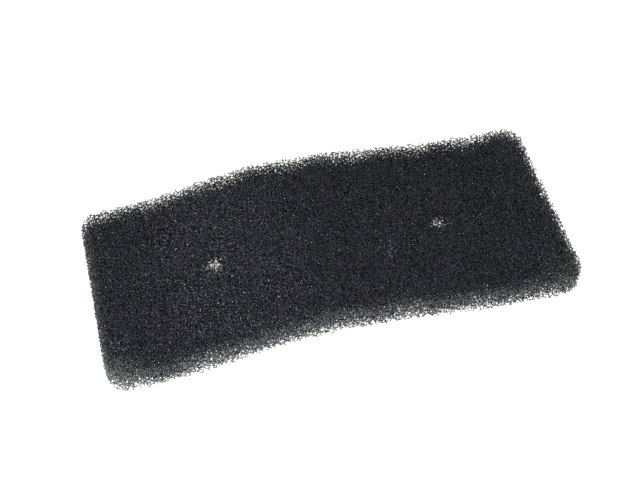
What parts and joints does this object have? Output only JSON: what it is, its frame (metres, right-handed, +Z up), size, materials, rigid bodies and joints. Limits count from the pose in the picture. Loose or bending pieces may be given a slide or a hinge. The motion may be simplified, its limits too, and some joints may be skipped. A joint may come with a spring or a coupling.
{
  "type": "foam air filter element",
  "caption": "Rectangular open-cell foam pad with rounded corners and small peg holes, bowed along its length, for an air cleaner tray.",
  "frame": {"origin": "middle of the pad's outline, at the height of the surface that its two flat ends rest on", "axes": "+X along the pad towards its right end, +Y across it towards its back edge, +Z up, towards the side that the bow rises to"},
  "size_m": [0.23, 0.1, 0.024],
  "materials": {
    "charcoal_foam": "matt open-cell foam with small glints on its strands"
  },
  "bodies": {
    "root": {"foam_element": "charcoal_foam"}
  },
  "joints": []
}
